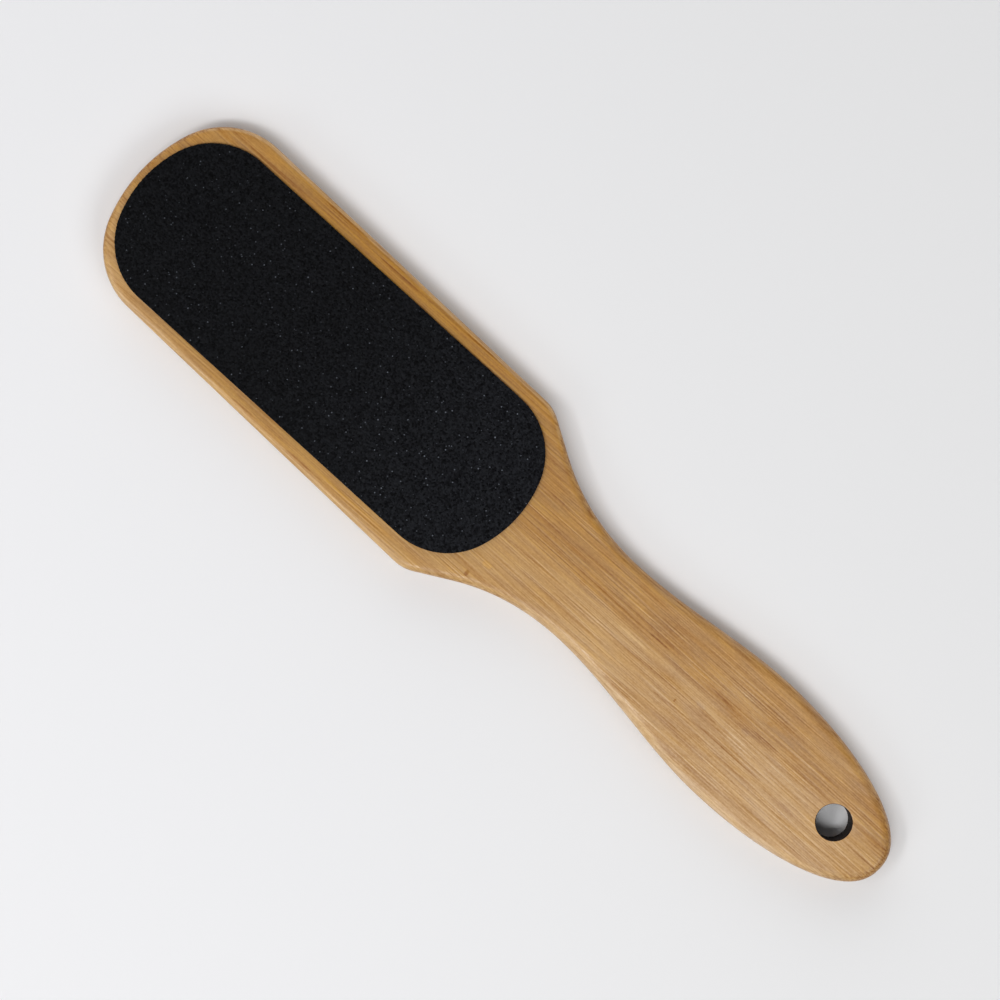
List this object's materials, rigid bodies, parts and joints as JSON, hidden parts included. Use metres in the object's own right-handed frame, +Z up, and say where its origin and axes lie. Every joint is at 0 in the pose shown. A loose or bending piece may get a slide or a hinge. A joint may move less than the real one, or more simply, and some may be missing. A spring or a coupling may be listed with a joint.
{
  "type": "foot file",
  "caption": "Flat bamboo paddle with a long round-ended head, sloping shoulders and a waisted handle with a hanging hole; an abrasive pad is glued to each face of the head.",
  "frame": {"origin": "under the middle of the whole file, level with the face of the lower pad", "axes": "+X along the paddle from the head to the handle's tail, +Y across it, +Z up out of the face with the coarse pad"},
  "size_m": [0.256, 0.0556, 0.0099],
  "materials": {
    "bamboo": "sanded bamboo with a thin satin lacquer",
    "adhesive": "pressure-sensitive adhesive film",
    "backing": "heavy dark backing paper, cut edge",
    "coarse_grit": "coarse black silicon carbide grit with glinting grains",
    "fine_grit": "finer black silicon carbide grit"
  },
  "bodies": {
    "root": {"paddle": "bamboo", "front_adhesive": "adhesive", "front_backing": "backing", "front_grit": "coarse_grit", "rear_adhesive": "adhesive", "rear_backing": "backing", "rear_grit": "fine_grit"}
  },
  "joints": []
}
